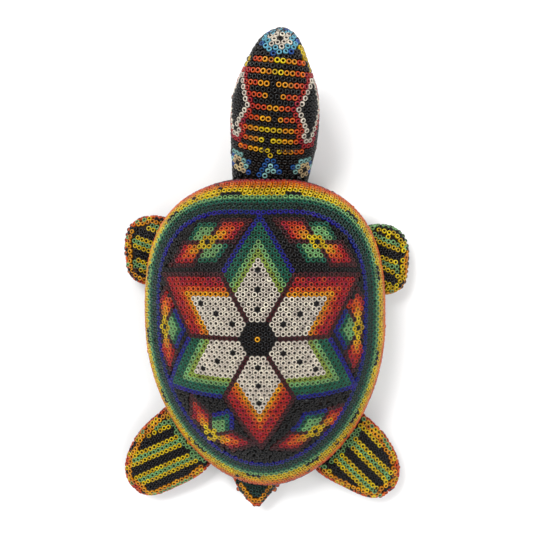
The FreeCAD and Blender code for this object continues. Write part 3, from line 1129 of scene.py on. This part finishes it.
def bead_material(colour):
    """Pressed glass: each bead a little lighter or darker at random; its sunk part and hole wall
    darkened towards brown, partly wax haze and partly painted shade.
    """
    material, tree, shader = nodes_of("glass_" + colour)
    base = linear(COLOURS[colour])
    tint = attribute_of(tree, "tint")
    hsv = add_node(tree, "HueSaturation", Color=(*base, 1), Value=scaled(tree, tint, 0.13, 1.0),
                   Hue=scaled(tree, tint, 0.006, 0.5))
    # Painted shade: the lower part of each bead and the wall of its hole blend towards a dark
    # brown. This stands in for the shade between and inside the beads, mixed with real wax haze.
    wax_haze_and_shade = add_node(tree, "MapRange", Value=attribute_of(tree, "rise"), From_Min=0.66,
                    From_Max=0.22)
    wax_and_shade_tone = [0.16 * share + wax for share, wax in zip(base, (0.014, 0.009, 0.006))]
    mixed = add_node(tree, "Mix")
    mixed.data_type = "RGBA"
    set_inputs(tree, mixed, Factor=wax_haze_and_shade.outputs["Result"], A=hsv.outputs["Color"], B=(*wax_and_shade_tone, 1))
    texture = add_node(tree, "TexCoord")
    noise = add_node(tree, "TexNoise", Vector=texture.outputs["Object"], Scale=900.0, Detail=3.0)
    roughen(tree, shader, noise.outputs["Fac"], 0.12, 0.34, 0.12, 0.0001)
    set_inputs(tree, shader, Base_Color=mixed.outputs["Result"], IOR=1.5, Specular_IOR_Level=0.35)
    return material


def surface_material(name, dark, light, scale, stretch, roughness, gloss=0.5):
    """Two tones mixed by stretched noise, with a fine bump: wax or carved wood."""
    material, tree, shader = nodes_of(name)
    texture = add_node(tree, "TexCoord")
    mapping = add_node(tree, "Mapping", Vector=texture.outputs["Object"], Scale=stretch)
    noise = add_node(tree, "TexNoise", Vector=mapping.outputs["Vector"], Scale=scale, Detail=6.0,
                     Distortion=0.6)
    ramp = add_node(tree, "ValToRGB", Fac=noise.outputs["Fac"])
    for stop, place, tone in zip(ramp.color_ramp.elements, (0.35, 0.65), (dark, light)):
        stop.position = place
        stop.color = (*linear(tone), 1)
    roughen(tree, shader, noise.outputs["Fac"], roughness, roughness + 0.2, 0.4, 0.0003)
    set_inputs(tree, shader, Base_Color=ramp.outputs["Color"], Specular_IOR_Level=gloss)
    return material


wax_material = surface_material("campeche_wax", (0.035, 0.02, 0.012), (0.12, 0.07, 0.04),
                                320.0, (1, 1, 1), 0.5, 0.15)
wood_material = surface_material("carved_wood", (0.48, 0.33, 0.19), (0.72, 0.55, 0.36),
                                 60.0, (1, 0.12, 1), 0.6)
peg_material = surface_material("peg_wood", (0.55, 0.40, 0.25), (0.78, 0.62, 0.43),
                                90.0, (1, 0.2, 1), 0.6)

for name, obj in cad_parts.items():
    carved = name.endswith("_core")
    if carved or "peg" in name:
        obj.data.materials.clear()
        obj.data.materials.append(wood_material if carved else peg_material)

# ---- pieces ----

GROUP_NODES = {
    "star": [n for n in BEAD_NODES if n.startswith("star_")],
    "flower": [n for n in BEAD_NODES if n.endswith("_flower_beads")],
    "ground": ["ground_beads"],
    "border": ["blue_ring_beads", "rim_green_beads", "rim_yellow_beads", "rim_amber_beads",
               "rim_red_beads"],
    "side": ["edge_beads", "belly_side_beads"],
    "belly": ["belly_beads"],
    "head": HEAD_NODES,
    **LIMB_NODES,
}

MATERIALS = {colour: bead_material(colour) for colour in COLOURS}

stacks = {}
for index in range(len(beads.points)):
    stacks.setdefault((beads.groups[index], beads.colours[index]), []).append(index)
for (group, colour), indices in sorted(stacks.items()):
    piece = bead_piece(f"{group}_{colour}_beads", indices, colour)
    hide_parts(*GROUP_NODES[group])


WAX_VOXEL = 0.9
RIPPLE_RATES = (2600, 2300, 2450)  # radians in a metre along x, y and z
RIPPLE_HEIGHT = 0.12


def wax_piece(name):
    """The wax squeezed up between the beads: the CAD coat, evened out, raised and rippled."""
    obj = new_object(name + "_coat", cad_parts[name].data.copy())
    remesh = obj.modifiers.new("even", "REMESH")
    remesh.mode = "VOXEL"
    remesh.voxel_size = WAX_VOXEL * MM
    evened = obj.evaluated_get(bpy.context.evaluated_depsgraph_get())
    made = bpy.data.meshes.new_from_object(evened)
    obj.modifiers.clear()
    obj.data = made
    co, normals = values_of(made.vertices, "co"), values_of(made.vertices, "normal")
    waves = [np.sin(co[:, axis] * rate) for axis, rate in enumerate(RIPPLE_RATES)]
    ripple = waves[0] * waves[1] * waves[2]
    co += normals * (WAX_RISE + RIPPLE_HEIGHT * ripple[:, None]) * MM
    made.vertices.foreach_set("co", co.reshape(-1))
    made.shade_smooth()
    made.update()
    made.materials.clear()
    made.materials.append(wax_material)
    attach(obj, "root")
    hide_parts(name)


for name in sorted(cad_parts):
    if name.endswith("_wax"):
        wax_piece(name)

# ---- stage, light and camera ----

FLOOR_REACH = 3.0  # metres
FLOOR_CORNERS = ((-1, -1), (1, -1), (1, 1), (-1, 1))
floor_mesh = bpy.data.meshes.new("floor")
floor_mesh.from_pydata([(x * FLOOR_REACH, y * FLOOR_REACH, 0) for x, y in FLOOR_CORNERS],
                       [], [(0, 1, 2, 3)])
floor = new_object("floor", floor_mesh)
floor_material, floor_tree, floor_shader = nodes_of("paper")
set_inputs(floor_tree, floor_shader, Base_Color=(0.9, 0.9, 0.9, 1), Roughness=0.9)
floor_mesh.materials.append(floor_material)

world = bpy.data.worlds.new("studio")
bpy.context.scene.world = world
world.use_nodes = True
world_tree = world.node_tree
direction = add_node(world_tree, "TexCoord")
height_of = add_node(world_tree, "SeparateXYZ", Vector=direction.outputs["Generated"])
# The ceiling over the figure is dark, so that the glass mirrors little from straight above.
ceiling = add_node(world_tree, "MapRange", Value=height_of.outputs["Z"], From_Min=0.80,
                   From_Max=0.97, To_Min=0.95, To_Max=0.12)
set_inputs(world_tree, world_tree.nodes["Background"], Color=(1, 1, 1, 1),
           Strength=ceiling.outputs["Result"])


def area_light(name, place, size, power):
    """A lamp turned to the figure; place and size in metres, power in watts."""
    light = bpy.data.lights.new(name, "AREA")
    light.shape = "RECTANGLE"
    light.size, light.size_y = size
    light.energy = power
    obj = new_object(name, light)
    obj.location = place
    obj.rotation_euler = (-Vector(place)).to_track_quat("-Z", "Y").to_euler()


area_light("key", (-0.35, 0.5, 0.75), (0.5, 0.3), 7.0)
area_light("fill", (0.6, -0.2, 0.7), (0.6, 0.6), 3.5)

CAMERA_PLACE = np.array([23.0, 46.7, 328.5])
CAMERA_LEAN = math.tan(math.radians(4.0))
FOCAL_LENGTH = 51.33
SENSOR_WIDTH = 36.0
backward = Vector((CAMERA_LEAN, CAMERA_LEAN, 1.0)).normalized()
right = (Vector((1, 0, 0)) - backward * backward.x).normalized()
upward = backward.cross(right)
camera_data = bpy.data.cameras.new("camera")
camera_data.lens = FOCAL_LENGTH
camera_data.sensor_width = SENSOR_WIDTH
camera = new_object("camera", camera_data)
matrix = Matrix((right, upward, backward)).transposed().to_4x4()
matrix.translation = Vector(CAMERA_PLACE * MM)
camera.matrix_world = matrix
bpy.context.scene.camera = camera
bpy.context.scene.view_settings.view_transform = "Standard"
